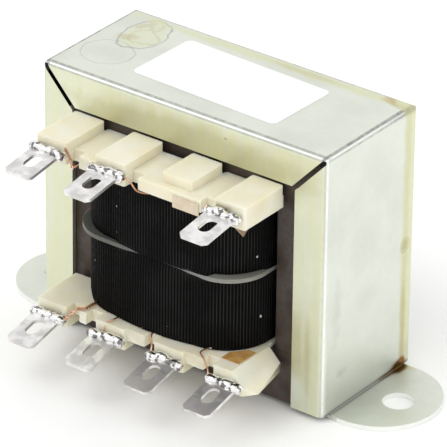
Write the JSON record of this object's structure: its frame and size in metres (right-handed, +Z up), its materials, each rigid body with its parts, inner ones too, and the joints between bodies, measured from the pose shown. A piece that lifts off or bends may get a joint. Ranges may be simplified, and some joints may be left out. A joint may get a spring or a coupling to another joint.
{
  "type": "chassis mount transformer",
  "caption": "Open-frame mains transformer: a laminated core in a bent steel channel bracket with slotted solder lugs on a moulded bobbin and a holed mounting ear at each end.",
  "frame": {"origin": "on the mounting plane, midway between the two mounting holes", "axes": "+X along the line of mounting holes, +Z up from the mounting plane, the lugs face -Y"},
  "size_m": [0.0732, 0.0463, 0.0421],
  "materials": {
    "zinc_plated_steel": "zinc plated, satin",
    "core_steel": "varnished silicon steel",
    "natural_nylon": "natural, satin",
    "copper_wire": "enamelled copper",
    "black_tape": "ribbed, satin",
    "tinned_brass": "tin plated",
    "solder": "bright solder",
    "label_paper": "paper, matt",
    "pale_film": "thin film",
    "amber_film": "thin film"
  },
  "bodies": {
    "root": {"channel_frame": "zinc_plated_steel", "e_laminations": "core_steel", "i_laminations": "core_steel", "bobbin": "natural_nylon", "upper_winding": "copper_wire", "lower_winding": "copper_wire", "upper_tape_wrap": "black_tape", "lower_tape_wrap": "black_tape", "upper_lug_left": "tinned_brass", "upper_lug_centre": "tinned_brass", "upper_lug_right": "tinned_brass", "lower_lug_1": "tinned_brass", "lower_lug_2": "tinned_brass", "lower_lug_3": "tinned_brass", "lower_lug_4": "tinned_brass", "upper_solder_left": "solder", "upper_solder_centre": "solder", "upper_solder_right": "solder", "lower_solder_1": "solder", "lower_solder_2": "solder", "lower_solder_3": "solder", "lower_solder_4": "solder", "upper_lead_left": "copper_wire", "upper_lead_centre": "copper_wire", "upper_lead_right": "copper_wire", "lower_lead_1": "copper_wire", "lower_lead_2": "copper_wire", "lower_lead_3": "copper_wire", "lower_lead_4": "copper_wire", "paper_label": "label_paper", "board_strip": "pale_film", "insulation_tab": "amber_film", "lead_film": "amber_film"}
  },
  "joints": []
}
